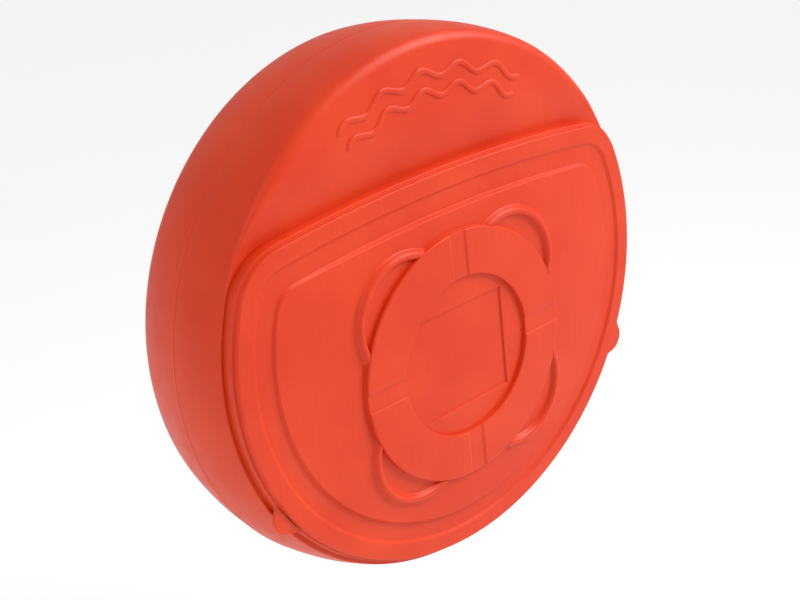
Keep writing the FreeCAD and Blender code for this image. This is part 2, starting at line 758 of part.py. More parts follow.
def make_plate(side):
    """Steel bar with rounded ends that spreads the load of two wall bolts."""
    z = COVER_CENTRE_Z + side * FIXING_SPACING_Z / 2
    back = -CASE_WALL
    front = back - PLATE_THICK
    half = PLATE_LENGTH / 2 - PLATE_HEIGHT / 2
    plate = block(-half, half, front, back, z - PLATE_HEIGHT / 2, z + PLATE_HEIGHT / 2)
    plate = plate.fuse([rod(PLATE_HEIGHT / 2, x, z, back, front) for x in (-half, half)]).removeSplitter()
    holes = [rod(FIXING_HOLE_RADIUS, x, hole_z, 1, front - 1) for x, hole_z in fixing_places()]
    holes += [rod(RIVET_RADIUS, x, rivet_z, 1, front - 1) for x, rivet_z in rivet_places()]
    return plate.cut(holes)


def make_rivets():
    rivets = []
    seat = -CASE_WALL - PLATE_THICK
    for x, z in rivet_places():
        head = Part.makeCone(RIVET_HEAD * 0.6, RIVET_HEAD, RIVET_HEAD_HEIGHT,
                             FreeCAD.Vector(x, seat - RIVET_HEAD_HEIGHT, z), Y_AXIS)
        rivets.append(head.fuse(rod(RIVET_RADIUS, x, z, 0, seat)))
    return Part.makeCompound(rivets)


# ---- drain ----------------------------------------------------------------------------

def make_grommets():
    """Liners of the two drain holes, flanged inside the case."""
    grommets = []
    for x in drain_places():
        z = drain_z(x)
        inside = z + CASE_WALL + DRAIN_LIFT
        flange = drain_rod(x, DRAIN_FLANGE, 2.0, 0, inside)
        barrel = drain_rod(x, DRAIN_RADIUS, 2.0, CASE_WALL + 3, inside)
        bore = drain_rod(x, DRAIN_RADIUS - 1.5, 5, CASE_WALL + 8, inside)
        grommets.append(flange.fuse(barrel).cut(bore))
    return Part.makeCompound(grommets)


# ---- all pieces ------------------------------------------------------------------------

def main():
    os.makedirs("parts", exist_ok=True)
    pieces = {
        "housing_shell": make_case(),
        "opening_seal": make_seal(),
        "front_cover": make_cover(),
        "ring_shell": make_ring_shell(),
        "ring_foam_core": make_ring_core(),
        "line_hub": make_hub(),
        "hub_flange": make_hub_flange(),
        "hub_bolt": make_hub_bolt(),
        "hub_washer": make_hub_washer(),
        "hub_screws": make_hub_screws(),
        "ring_rest_left": make_rest(-1),
        "ring_rest_right": make_rest(1),
        "rest_screws": make_rest_screws(),
        "rest_washers": make_rest_washers(),
        "fixing_plate_upper": make_plate(1),
        "fixing_plate_lower": make_plate(-1),
        "plate_rivets": make_rivets(),
        "drain_grommets": make_grommets(),
    }
    for index in range(BAND_COUNT):
        pieces["reflective_band_%d" % (index + 1)] = make_band(index)
    for name, shape in pieces.items():
        shape.exportStep("parts/%s.step" % name)


main()
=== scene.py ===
"""Looks of a wall case for a ring buoy: an orange moulded drum with a pull-off cover.

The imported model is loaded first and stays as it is. The case, the cover and the
ring get smoother skins that stand for their plain solids, and every other piece
gets a finish. Lengths are metres, +Z is up and the front faces -Y.
"""

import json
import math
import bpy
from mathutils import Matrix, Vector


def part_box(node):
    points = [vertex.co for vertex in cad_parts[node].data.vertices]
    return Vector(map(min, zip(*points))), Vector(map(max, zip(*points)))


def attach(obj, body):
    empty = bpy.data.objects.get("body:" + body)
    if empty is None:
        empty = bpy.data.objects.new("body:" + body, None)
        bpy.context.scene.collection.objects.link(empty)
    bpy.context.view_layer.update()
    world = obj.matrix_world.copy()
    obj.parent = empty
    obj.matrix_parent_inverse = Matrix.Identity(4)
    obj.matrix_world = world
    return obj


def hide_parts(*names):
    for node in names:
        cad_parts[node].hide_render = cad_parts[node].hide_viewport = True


bl_info = {
    "name": "Ring buoy case",
    "version": (1, 0, 0),
    "blender": (4, 5, 0),
    "location": "View3D > Sidebar > Ring buoy case",
    "description": "Builds the skins, finishes and studio for a ring buoy case",
    "category": "Object",
}

import bmesh
import bpy
from mathutils import Matrix, Vector

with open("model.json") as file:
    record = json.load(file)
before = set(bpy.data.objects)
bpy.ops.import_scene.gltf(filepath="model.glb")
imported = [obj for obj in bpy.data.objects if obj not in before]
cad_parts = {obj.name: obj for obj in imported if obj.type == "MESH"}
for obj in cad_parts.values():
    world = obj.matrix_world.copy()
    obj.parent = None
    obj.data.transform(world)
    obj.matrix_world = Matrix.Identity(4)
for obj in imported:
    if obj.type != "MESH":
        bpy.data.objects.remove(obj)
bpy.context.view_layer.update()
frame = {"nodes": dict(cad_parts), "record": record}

MM = 0.001

case_low, case_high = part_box("housing_shell")
cover_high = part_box("front_cover")[1]
ring_low, ring_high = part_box("ring_shell")

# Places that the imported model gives. PANEL_Y comes out 1 mm in front of the packed
# panel, because the housing's lowest y is the collar's lip, not the wave crests.
PARTING_BEAD = 1.2 * MM
DRUM_RADIUS = case_high.x - PARTING_BEAD
HOOD_BACK = 17 * MM
WAVE_RAISE = 3 * MM
RING_CENTRE_Z = (ring_low.z + ring_high.z) / 2
RING_RADIUS = (ring_high.z - ring_low.z) / 2
RING_DEPTH = -(ring_low.y + ring_high.y) / 2
PANEL_Y = case_low.y + WAVE_RAISE - HOOD_BACK
SIDE_DRAFT = 3.5 * MM
COVER_RADIUS = cover_high.x - SIDE_DRAFT
COVER_TOP_Z = cover_high.z - SIDE_DRAFT + 0.2 * MM


# ---- user settings ----------------------------------------------------------

def linear(hex_colour):
    """Linear RGBA of an sRGB colour such as "E8481F"."""
    channels = []
    for start in (0, 2, 4):
        value = int(hex_colour[start:start + 2], 16) / 255
        channels.append(value / 12.92 if value <= 0.04045 else ((value + 0.055) / 1.055) ** 2.4)
    return (*channels, 1.0)


def length(name, description, default):
    return bpy.props.FloatProperty(name=name, description=description, default=default, unit="LENGTH")


def colour(name, description, hex_colour):
    return bpy.props.FloatVectorProperty(
        name=name, description=description, size=4, min=0, max=1,
        default=linear(hex_colour), subtype="COLOR")


class CaseSettings(bpy.types.PropertyGroup):
    wall: length("Wall", "Thickness of the moulded wall", 5 * MM)
    front_radius: length("Front radius", "Radius where the front rounding starts", 402.5 * MM)
    front_lift: length("Front lift", "How far the front edge's centre stands above the axis", 9.5 * MM)
    shoulder: length("Shoulder", "Rounding of the front edge", 18 * MM)
    back_radius: length("Back radius", "Radius where the back corner starts", 407 * MM)
    back_corner: length("Back corner", "Rounding of the back edge", 45 * MM)
    parting: length("Parting line", "Distance of the moulding line from the wall", 115 * MM)
    recess: length("Recess", "Depth of the floor round the cover, behind the panel", 28 * MM)
    recess_margin: length("Recess margin", "Width of that floor beyond the cover", 5 * MM)
    recess_slope: length("Recess slope", "Run of the shallow slope up to the hood", 65 * MM)


class CoverSettings(bpy.types.PropertyGroup):
    wall: length("Wall", "Thickness of the cover", 4 * MM)
    centre_z: length("Centre", "Height of the lower arc's centre", RING_CENTRE_Z)
    bow: length("Top bow", "Radius of the slightly bowed top edge", 2500 * MM)
    corner: length("Corner", "Rounding of the two top corners", 84 * MM)
    border: length("Border", "Border's face, behind the panel", 6 * MM)
    ledge: length("Ledge", "Step between the rim and the side wall, behind the panel", 12.5 * MM)
    side_end: length("Side end", "Back edge of the side wall, behind the panel", 27 * MM)
    channel: length("Channel", "Floor of the channel round the panel, behind the panel", 9.5 * MM)
    emblem_z: length("Picture centre", "Height of the ring picture's centre", -62 * MM)
    emblem_outer: length("Picture outer radius", "Outer radius of the ring picture", 195.5 * MM)
    emblem_inner: length("Picture inner radius", "Inner radius of the ring picture", 124 * MM)
    emblem_height: length("Picture height", "How far the ring picture stands up", 6.5 * MM)
    band: length("Band", "Width of the four straps round the ring picture", 31 * MM)
    loop_radius: length("Loop radius", "Radius of the rope loops between the straps", 86.5 * MM)
    loop_offset: length("Loop offset", "Distance of the loops' centres from the picture's", 146 * MM)
    label: length("Label", "Side of the square label field", 162 * MM)


class FinishSettings(bpy.types.PropertyGroup):
    shell: colour("Shell", "Orange-red polyethylene of the case and cover", "D23611")
    shell_pale: colour("Shell, pale", "Its paler, slightly chalked patches", "DA4018")
    ring: colour("Ring", "Orange polyethylene of the ring buoy", "F25A14")
    foam: colour("Foam", "Closed-cell foam inside the ring", "E6DCB8")
    tape: colour("Tape", "Silver reflective tape", "C9CCCB")
    plastic: colour("Plastic", "Dark grey moulded plastic of the hub and rests", "34383B")
    steel: colour("Steel", "Stainless steel of the plates and screws", "B9B9B5")
    rivet: colour("Rivets", "Aluminium of the rivets", "C8C9CA")
    rubber: colour("Rubber", "Black rubber of the seal and grommets", "161616")
    floor: colour("Floor", "Pale studio floor", "FCFCFC")


def settings():
    return bpy.context.scene.buoy_case, bpy.context.scene.buoy_cover, bpy.context.scene.buoy_finish


# ---- shared geometry --------------------------------------------------------

def ray_to_circle(eye_z, angle, centre_x, centre_z, radius):
    """Distance from (0, eye_z) to the far side of a circle in the front plane."""
    across = -centre_x * math.cos(angle) + (eye_z - centre_z) * math.sin(angle)
    gap = centre_x ** 2 + (eye_z - centre_z) ** 2
    return -across + math.sqrt(max(across ** 2 - gap + radius ** 2, 0))


def circle_place(eye_z, angle, centre_z, radius):
    """Where a ray from (0, eye_z) meets a circle about the vertical middle plane."""
    reach = ray_to_circle(eye_z, angle, 0, centre_z, radius)
    return reach * math.cos(angle), eye_z + reach * math.sin(angle)


def outline_place(eye_z, angle, inset, corner=None):
    """Where a ray from (0, eye_z) meets the cover's outline moved inwards by inset."""
    cover = bpy.context.scene.buoy_cover
    low = cover.centre_z
    high = COVER_TOP_Z - cover.bow
    radius = COVER_RADIUS - inset
    bow = cover.bow - inset
    rounding = cover.corner - inset if corner is None else corner
    reach_low = radius - rounding
    reach_high = bow - rounding
    span = low - high
    along = (reach_high ** 2 - reach_low ** 2 + span ** 2) / (2 * span)
    corner_z = high + along
    corner_x = math.sqrt(reach_high ** 2 - along ** 2)
    folded = math.atan2(math.sin(angle), abs(math.cos(angle)))
    side = Vector((corner_x, corner_z - low)).normalized() * radius
    top = Vector((corner_x, corner_z - high)).normalized() * bow
    side_angle = math.atan2(side.y + low - eye_z, side.x)
    top_angle = math.atan2(top.y + high - eye_z, top.x)
    if folded < side_angle:
        reach = ray_to_circle(eye_z, folded, 0, low, radius)
    elif folded > top_angle:
        reach = ray_to_circle(eye_z, folded, 0, high, bow)
    else:
        reach = ray_to_circle(eye_z, folded, corner_x, corner_z, rounding)
    return reach * math.cos(angle), eye_z + reach * math.sin(angle)


def rounded(corners, steps=4):
    """Points of a section whose corners (across, depth, radius) are rounded off."""
    points = []
    for index, (across, depth, radius) in enumerate(corners):
        here = Vector((across, depth))
        if radius == 0 or index in (0, len(corners) - 1):
            points.append((across, depth))
            continue
        before = (Vector(corners[index - 1][:2]) - here)
        after = (Vector(corners[index + 1][:2]) - here)
        half_turn = before.angle(after) / 2
        back_off = min(radius / math.tan(half_turn), before.length * 0.49, after.length * 0.49)
        start = here + before.normalized() * back_off
        end = here + after.normalized() * back_off
        for step in range(steps + 1):
            share = step / steps
            bend = start.lerp(here, share).lerp(here.lerp(end, share), share)
            points.append((bend.x, bend.y))
    return points


def grow_rows(rows, columns, close=False):
    """Mesh of a loop of edges that is extruded from row to row.

    Each row is a function that gives the place of a column. Both ends are
    filled with a flat face, or are joined to each other if close is set.
    """
    mesh = bmesh.new()
    made = bmesh.ops.create_circle(mesh, cap_ends=False, segments=columns, radius=1)
    loop = list(made["verts"])
    first_edges = list(mesh.edges)
    edges = first_edges
    for number, row in enumerate(rows):
        if number:
            made = bmesh.ops.extrude_edge_only(mesh, edges=edges)
            fresh = {item for item in made["geom"] if isinstance(item, bmesh.types.BMVert)}
            edges = [item for item in made["geom"] if isinstance(item, bmesh.types.BMEdge)
                     and item.verts[0] in fresh and item.verts[1] in fresh]
            loop = [next(edge.other_vert(vert) for edge in vert.link_edges
                         if edge.other_vert(vert) in fresh)
                    for vert in loop]
        for column, vert in enumerate(loop):
            vert.co = row(column)
    if close:
        bmesh.ops.bridge_loops(mesh, edges=first_edges + edges)
    else:
        bmesh.ops.edgeloop_fill(mesh, edges=first_edges)
        bmesh.ops.edgeloop_fill(mesh, edges=edges)
    bmesh.ops.recalc_face_normals(mesh, faces=mesh.faces)
    return mesh


def add_piece(name, mesh, material, body, weighted=True):
    """Object of a finished mesh, smooth shaded, that rides on a body."""
    data = bpy.data.meshes.new(name)
    mesh.to_mesh(data)
    mesh.free()
    data.shade_smooth()
    data.materials.append(material)
    piece = bpy.data.objects.new(name, data)
    bpy.context.scene.collection.objects.link(piece)
    if weighted:
        # keeps wide flats flat beside their narrow roundings
        modifier = piece.modifiers.new("Weighted normals", "WEIGHTED_NORMAL")
        modifier.weight = 50
    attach(piece, body)
    return piece


# ---- case -------------------------------------------------------------------

CASE_COLUMNS = 480
# section of the parting bead: millimetres along the side, share of its height
BEAD_SECTION = ((-2.6, 0), (-1.8, 0.12), (-1, 0.42), (0, 0.6), (1, 0.42), (1.8, 0.12), (2.6, 0))
# where the front and back roundings meet the bulging side without a crease
FRONT_TURN = math.radians(73.7)
BACK_TURN = math.radians(12.9)


def column_angle(column, columns):
    return 2 * math.pi * column / columns


def inset_at(x, z):
    """Roughly how far inside the cover's outline a place is, negative outside."""
    cover = bpy.context.scene.buoy_cover
    to_side = COVER_RADIUS - math.hypot(x, z - cover.centre_z)
    high = COVER_TOP_Z - cover.bow
    to_top = cover.bow - math.hypot(x, z - high)
    return min(to_side, to_top)


def soft_max(a, b, blend):
    """The larger value, with the change from one to the other rounded off."""
    gap = max(blend - abs(a - b), 0) / blend
    return max(a, b) + gap * gap * blend / 4


def hood_depth(x, z):
    """Depth of the case's front surface behind the panel at a place."""
    case = bpy.context.scene.buoy_case
    flat = case.front_radius - case.shoulder
    over = max(math.hypot(x, z - case.front_lift) - flat, 0)
    over = min(over, case.shoulder)
    rounding = HOOD_BACK + case.shoulder - math.sqrt(case.shoulder ** 2 - over ** 2)
    outside = -inset_at(x, z) - case.recess_margin
    deep = case.recess - HOOD_BACK
    valley = case.recess - max(outside, 0) / case.recess_slope * deep
    return soft_max(rounding, min(valley, case.recess), 3 * MM)


def case_front_rows(sunk, flat_rows=20, round_rows=9):
    """Rows from the floor round the cover, over the hood, to the end of the rounding."""
    case = bpy.context.scene.buoy_case
    flat = case.front_radius - case.shoulder

    def row(share, over_share):
        def place(column):
            angle = column_angle(column, CASE_COLUMNS)
            inner_x, inner_z = outline_place(0, angle, -case.recess_margin - 0.6 * MM)
            start = math.hypot(inner_x, inner_z - case.front_lift)
            middle = max(flat, start + 0.6 * MM)
            middle_x, middle_z = circle_place(0, angle, case.front_lift, middle)
            if over_share == 0:
                x = inner_x + (middle_x - inner_x) * share
                z = inner_z + (middle_z - inner_z) * share
            else:
                turn = math.asin(min((middle - flat) / case.shoulder, 1))
                turn += (FRONT_TURN - turn) * over_share
                radius = flat + (case.shoulder - 1e-6) * math.sin(turn)
                x, z = circle_place(0, angle, case.front_lift, radius)
            depth = hood_depth(x, z)
            if sunk:
                shrink = 1 - sunk / math.hypot(x, z) * over_share
                x *= shrink
                z *= shrink
            return Vector((x, PANEL_Y + depth + sunk * (1 - over_share), z))
        return place

    rows = [row(step / flat_rows, 0) for step in range(flat_rows + 1)]
    rows += [row(1, (step + 1) / round_rows) for step in range(round_rows)]
    return rows


def circle_row(radius, y, centre_z):
    def place(column):
        x, z = circle_place(0, column_angle(column, CASE_COLUMNS), centre_z, radius)
        return Vector((x, y, z))
    return place


def outline_row(inset, depth):
    def place(column):
        x, z = outline_place(0, column_angle(column, CASE_COLUMNS), inset)
        return Vector((x, PANEL_Y + depth, z))
    return place


def drum_side_rows(sunk):
    """Rows down the drum's gently bulging side, from the front rounding to the flat back."""
    case = bpy.context.scene.buoy_case
    front_y = PANEL_Y + HOOD_BACK + case.shoulder * (1 - math.cos(FRONT_TURN))
    front = case.front_radius - case.shoulder * (1 - math.sin(FRONT_TURN))
    back_y = -case.back_corner * (1 - math.sin(BACK_TURN))
    back = case.back_radius - case.back_corner * (1 - math.cos(BACK_TURN))
    rows = []
    steps = 12
    for step in range(1, steps):
        share = step / steps
        y = front_y + (-case.parting - front_y) * share
        radius = DRUM_RADIUS + (front - DRUM_RADIUS) * (1 - share) ** 2 - sunk
        rows.append(circle_row(radius, y, case.front_lift * (1 - share)))
    if sunk:
        rows.append(circle_row(DRUM_RADIUS - sunk, -case.parting, 0))
    else:
        for along, height in BEAD_SECTION:
            rows.append(circle_row(DRUM_RADIUS + PARTING_BEAD * height, -case.parting + along * MM, 0))
    for step in range(1, steps):
        share = step / steps
        y = -case.parting + (back_y + case.parting) * share
        radius = DRUM_RADIUS + (back - DRUM_RADIUS) * share ** 2 - sunk
        rows.append(circle_row(radius, y, 0))
    corner = case.back_corner - sunk
    centre = case.back_radius - case.back_corner
    steps = 14
    for step in range(steps + 1):
        turn = BACK_TURN + (math.pi / 2 - BACK_TURN) * step / steps
        y = -case.back_corner + corner * math.sin(turn)
        rows.append(circle_row(centre + corner * math.cos(turn), y, 0))
    rows.append(circle_row(centre * 0.985, -sunk, 0))
    return rows


def case_rows():
    """All rows of the case, from the outside of its back round to the inside."""
    case, cover, _ = settings()
    floor = case.recess
    outer = cover.wall + 4.5 * MM + 1.5 * MM
    inner = outer + case.wall
    lip = 13 * MM
    section = rounded([
        (-case.recess_margin, floor, 0),
        (outer, floor, 1.2 * MM),
        (outer, lip, 1 * MM),
        (inner, lip, 1 * MM),
        (inner, floor + case.wall, 1.2 * MM),
        (-case.recess_margin, floor + case.wall, 0),
    ], 3)
    rows = list(reversed(drum_side_rows(0)))
    rows += list(reversed(case_front_rows(0)))
    rows += [outline_row(inset, depth) for inset, depth in section]
    rows += case_front_rows(case.wall, 10, 6)
    rows += drum_side_rows(case.wall)
    return rows


def holes_in(piece, cutters):
    """Cut round holes, each (place, direction, radius, length), through a piece."""
    tools = bmesh.new()
    for place, direction, radius, reach in cutters:
        made = bmesh.ops.create_cone(tools, cap_ends=True, segments=24,
                                     radius1=radius, radius2=radius, depth=reach)
        turn = Vector((0, 0, 1)).rotation_difference(Vector(direction)).to_matrix().to_4x4()
        bmesh.ops.transform(tools, matrix=Matrix.Translation(place) @ turn, verts=made["verts"])
    data = bpy.data.meshes.new("cutters")
    tools.to_mesh(data)
    tools.free()
    cutter = bpy.data.objects.new("cutters", data)
    bpy.context.scene.collection.objects.link(cutter)
    modifier = piece.modifiers.new("Holes", "BOOLEAN")
    modifier.operation = "DIFFERENCE"
    modifier.solver = "EXACT"
    modifier.object = cutter
    bpy.context.view_layer.update()
    shaped = bpy.data.meshes.new_from_object(piece.evaluated_get(bpy.context.evaluated_depsgraph_get()))
    piece.modifiers.remove(modifier)
    piece.data = shaped
    bpy.data.objects.remove(cutter)


# holes of the back, as half spacings, circles and radii
WALL_BOLT_X = 150 * MM
FIXING_Z = 180 * MM
RIVET_X = 180 * MM
HUB_SCREW_CIRCLE = 93 * MM
REST_SCREW_CIRCLE = 350 * MM
REST_MIDDLE = 34
REST_SCREW_STEP = 4.8
WALL_BOLT_HOLE = 4.5 * MM
RIVET_HOLE = 2.4 * MM
SCREW_HOLE = 3 * MM
DRAIN_HOLE = 6 * MM
DRAIN_X = 70 * MM
DRAIN_Y = -70 * MM


def case_holes():
    """Bolt, rivet and screw holes of the back, and the drain holes below."""
    case, cover, _ = settings()
    holes = []
    back = (0, 1, 0)

    def through_back(x, z, radius):
        holes.append((Vector((x, -case.wall / 2, z)), back, radius, 4 * case.wall))

    for side_x in (-1, 1):
        for side_z in (-1, 1):
            through_back(side_x * WALL_BOLT_X, cover.centre_z + side_z * FIXING_Z, WALL_BOLT_HOLE)
    for side_z in (-1, 1):
        for share in (-1, -1 / 3, 1 / 3, 1):
            through_back(RIVET_X * share, cover.centre_z + side_z * FIXING_Z, RIVET_HOLE)
    for turn in range(4):
        angle = math.radians(45 + 90 * turn)
        z = cover.centre_z + HUB_SCREW_CIRCLE * math.sin(angle)
        through_back(HUB_SCREW_CIRCLE * math.cos(angle), z, SCREW_HOLE)
    for side in (-1, 1):
        for degrees in (REST_MIDDLE - REST_SCREW_STEP, REST_MIDDLE + REST_SCREW_STEP):
            angle = math.radians(degrees)
            x = side * REST_SCREW_CIRCLE * math.sin(angle)
            through_back(x, cover.centre_z - REST_SCREW_CIRCLE * math.cos(angle), SCREW_HOLE)
    for x in (-DRAIN_X, DRAIN_X):
        holes.append((Vector((x, DRAIN_Y, -404 * MM)), (0, 0, 1), DRAIN_HOLE, 60 * MM))
    return holes


class BUOY_OT_case(bpy.types.Operator):
    """Build the drum-shaped case with its hood, opening and collar"""
    bl_idname = "buoy.case"
    bl_label = "Case"

    def execute(self, context):
        mesh = grow_rows(case_rows(), CASE_COLUMNS)
        piece = add_piece("case_skin", mesh, shell_polyethylene(), "case", False)
        holes_in(piece, case_holes())
        modifier = piece.modifiers.new("Weighted normals", "WEIGHTED_NORMAL")
        modifier.weight = 50
        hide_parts("housing_shell")
        return {"FINISHED"}


class BUOY_OT_waves(bpy.types.Operator):
    """Build the two raised waves moulded on the hood"""
    bl_idname = "buoy.waves"
    bl_label = "Hood waves"

    def execute(self, context):
        for number, middle in enumerate((332.5 * MM, 359.5 * MM)):
            mesh = grow_rows(wave_rows(middle), 16)
            name = "hood_wave_%d" % (number + 1)
            add_piece(name, mesh, shell_polyethylene(), "case")
        return {"FINISHED"}


def wave_rows(middle):
    """Rows along one wave: a low rounded bead that follows the hood."""
    steps = 220
    swings = 5
    half_span = math.radians(57 / 2)
    half_stroke = 4.6 * MM

    def centre(share):
        angle = math.pi / 2 + half_span * (1 - 2 * share)
        radius = middle + 7 * MM * math.sin(2 * math.pi * swings * share)
        return Vector((radius * math.cos(angle), 0, radius * math.sin(angle)))

    def row(step):
        share = step / steps
        here = centre(share)
        along = (centre(min(share + 0.002, 1)) - centre(max(share - 0.002, 0))).normalized()
        across = Vector((-along.z, 0, along.x))
        from_end = min(step, steps - step)
        swell = math.sqrt(1 - (1 - min(from_end / 5, 1)) ** 2) * 0.98 + 0.02

        def place(column):
            turn = 2 * math.pi * column / 16
            spot = here + across * half_stroke * swell * math.cos(turn)
            lift = math.sin(turn)
            lift = lift * WAVE_RAISE * 0.92 * swell if lift > 0 else lift * 2 * MM
            spot.y = PANEL_Y + hood_depth(spot.x, spot.z) - lift + 0.15 * MM
            return spot
        return place

    return [row(step) for step in range(steps + 1)]


# ---- cover ------------------------------------------------------------------

COVER_COLUMNS = 600
STRAP_COLUMN = 10


def strap_angle(column, radius):
    """Angle of a column on a circle, drawn in so that columns follow the straps' edges."""
    cover = bpy.context.scene.buoy_cover
    quarter = math.pi / 2
    even = column_angle(column, COVER_COLUMNS)
    axis = round(even / quarter) * quarter
    off = even - axis
    fixed = column_angle(STRAP_COLUMN, COVER_COLUMNS)
    strap = math.asin(cover.band / 2 / radius)
    if abs(off) <= fixed:
        return axis + off * strap / fixed
    rest = strap + (abs(off) - fixed) * (quarter / 2 - strap) / (quarter / 2 - fixed)
    return axis + math.copysign(rest, off)


def in_strap(column):
    quarter = COVER_COLUMNS // 4
    near = (column + quarter // 2) % quarter - quarter // 2
    return abs(near) < STRAP_COLUMN


def dome_depth(x, z):
    """Depth of the panel's gentle dome, whose crown is the ring picture's centre."""
    cover = bpy.context.scene.buoy_cover
    edge = COVER_RADIUS - 60 * MM
    rise = 5 * MM
    ball = (edge ** 2 + rise ** 2) / (2 * rise)
    return (x ** 2 + (z - cover.emblem_z) ** 2) / (2 * ball)


def loop_lift(x, z):
    """Share of the rope loops' height at a place on the panel."""
    cover = bpy.context.scene.buoy_cover
    aside = cover.loop_offset * math.sqrt(0.5)
    gap = math.hypot(abs(x) - aside, abs(z - cover.emblem_z) - aside)
    off = abs(gap - cover.loop_radius) / (8.2 * MM)
    return (1 - off ** 2.6) ** 1.2 if off < 1 else 0


def panel_depth(x, z, back=False):
    flat = dome_depth(x, z)
    if back:
        return flat
    return flat - loop_lift(x, z) * (flat + 6 * MM)


def cover_outline_row(inset, depth, corner=None, to_dome=None, sunk=0):
    """Row on the cover's outline; to_dome sets how far its depth follows the dome."""
    cover = bpy.context.scene.buoy_cover

    def place(column):
        x, z = outline_place(cover.emblem_z, column_angle(column, COVER_COLUMNS), inset, corner)
        if to_dome is None:
            return Vector((x, PANEL_Y + depth, z))
        dome = panel_depth(x, z, sunk > 0)
        return Vector((x, PANEL_Y + depth + (dome + sunk - depth) * to_dome, z))
    return place


def cover_outer_rows():
    """Rows up the side, over the border and channel, to the edge of the panel."""
    cover = bpy.context.scene.buoy_cover
    section = rounded([
        (-SIDE_DRAFT, cover.side_end, 0),
        (-0.2 * MM, cover.ledge, 1.6 * MM),
        (3 * MM, cover.ledge, 0.8 * MM),
        (4.5 * MM, cover.border, 2.6 * MM),
        (29 * MM, cover.border, 1.4 * MM),
        (34 * MM, cover.channel, 1.4 * MM),
        (46 * MM, cover.channel, 0),
    ], 5)
    rows = [cover_outline_row(inset, depth) for inset, depth in section]
    nominal = 4 * MM
    edge = rounded([
        (54 * MM, cover.channel, 0),
        (60 * MM, cover.channel, 1.4 * MM),
        (64 * MM, nominal, 1.4 * MM),
        (67 * MM, nominal, 0),
    ], 5)
    for inset, depth in edge:
        follow = (cover.channel - depth) / (cover.channel - nominal)
        corner = 42 * MM - (inset - 60 * MM)
        if follow < 1e-6:
            rows.append(cover_outline_row(inset, cover.channel, corner))
        else:
            rows.append(cover_outline_row(inset, cover.channel, corner, follow))
    return rows


def panel_rows():
    """Rows of the open panel, from its edge to the foot of the ring picture."""
    cover = bpy.context.scene.buoy_cover
    foot = cover.emblem_outer + 1.4 * MM
    near = 246 * MM
    rows = []

    def middle_radius(column):
        x, z = outline_place(cover.emblem_z, column_angle(column, COVER_COLUMNS), 67 * MM, 35 * MM)
        return min(near, math.hypot(x, z - cover.emblem_z) - 6 * MM)

    def outer_row(share):
        def place(column):
            x, z = outline_place(cover.emblem_z, column_angle(column, COVER_COLUMNS), 67 * MM, 35 * MM)
            radius = middle_radius(column)
            angle = strap_angle(column, radius)
            x += (radius * math.cos(angle) - x) * share
            z += (cover.emblem_z + radius * math.sin(angle) - z) * share
            return Vector((x, PANEL_Y + panel_depth(x, z), z))
        return place

    def inner_row(share):
        def place(column):
            start = middle_radius(column)
            radius = start + (foot - start) * share
            angle = strap_angle(column, radius)
            x = radius * math.cos(angle)
            z = cover.emblem_z + radius * math.sin(angle)
            return Vector((x, PANEL_Y + panel_depth(x, z), z))
        return place

    rows += [outer_row(step / 6) for step in range(1, 7)]
    rows += [inner_row(step / 30) for step in range(1, 30)]
    return rows


def emblem_rows():
    """Rows over the ring picture, cut lower where the straps cross it."""
    cover = bpy.context.scene.buoy_cover
    crest = -cover.emblem_height
    strap_top = crest + 1.8 * MM
    outer = cover.emblem_outer
    inner = cover.emblem_inner
    section = rounded([
        (outer + 1.4 * MM, 1.7 * MM, 0),
        (outer + 0.2 * MM, 1.7 * MM, 0.7 * MM),
        (outer, -0.2 * MM, 0),
        (outer - 0.3 * MM, crest, 7.5 * MM),
        (outer - 20 * MM, crest, 0),
        (inner + 12 * MM, crest, 0),
        (inner + 0.3 * MM, crest, 2 * MM),
        (inner, 0.7 * MM, 0.8 * MM),
        (inner - 3 * MM, 0.7 * MM, 0),
    ], 5)

    def row(radius, depth):
        def place(column):
            angle = strap_angle(column, radius)
            x = radius * math.cos(angle)
            z = cover.emblem_z + radius * math.sin(angle)
            y = depth
            if in_strap(column):
                y = max(y, strap_top)
            if depth > 0:
                y = min(y, panel_depth(x, z)) if radius > outer else dome_depth(x, z)
            return Vector((x, PANEL_Y + y, z))
        return place

    return [row(radius, depth) for radius, depth in section]


def label_rows():
    """Rows from the ring picture's inner edge down to the square label field."""
    cover = bpy.context.scene.buoy_cover
    half = cover.label / 2
    start = cover.emblem_inner - 3 * MM

    def square(column, size):
        angle = column_angle(column, COVER_COLUMNS)
        reach = size / max(abs(math.cos(angle)), abs(math.sin(angle)))
        return reach * math.cos(angle), cover.emblem_z + reach * math.sin(angle)

    def row(share, size, depth):
        def place(column):
            angle = strap_angle(column, start)
            x, z = square(column, size)
            x += (start * math.cos(angle) - x) * (1 - share)
            z += (cover.emblem_z + start * math.sin(angle) - z) * (1 - share)
            return Vector((x, PANEL_Y + (dome_depth(x, z) if depth is None else depth), z))
        return place

    rows = [row(share, half + 0.8 * MM, None) for share in (0.2, 0.4, 0.6, 0.8, 1)]
    for size, depth in rounded([(half + 0.8 * MM, 0.3 * MM, 0), (half, 0.35 * MM, 0.5 * MM),
                                (half - 0.8 * MM, 3 * MM, 0.7 * MM), (half - 4 * MM, 3 * MM, 0)], 3)[1:]:
        rows.append(row(1, size, depth))
    rows.append(row(1, half * 0.5, 3 * MM))
    return rows


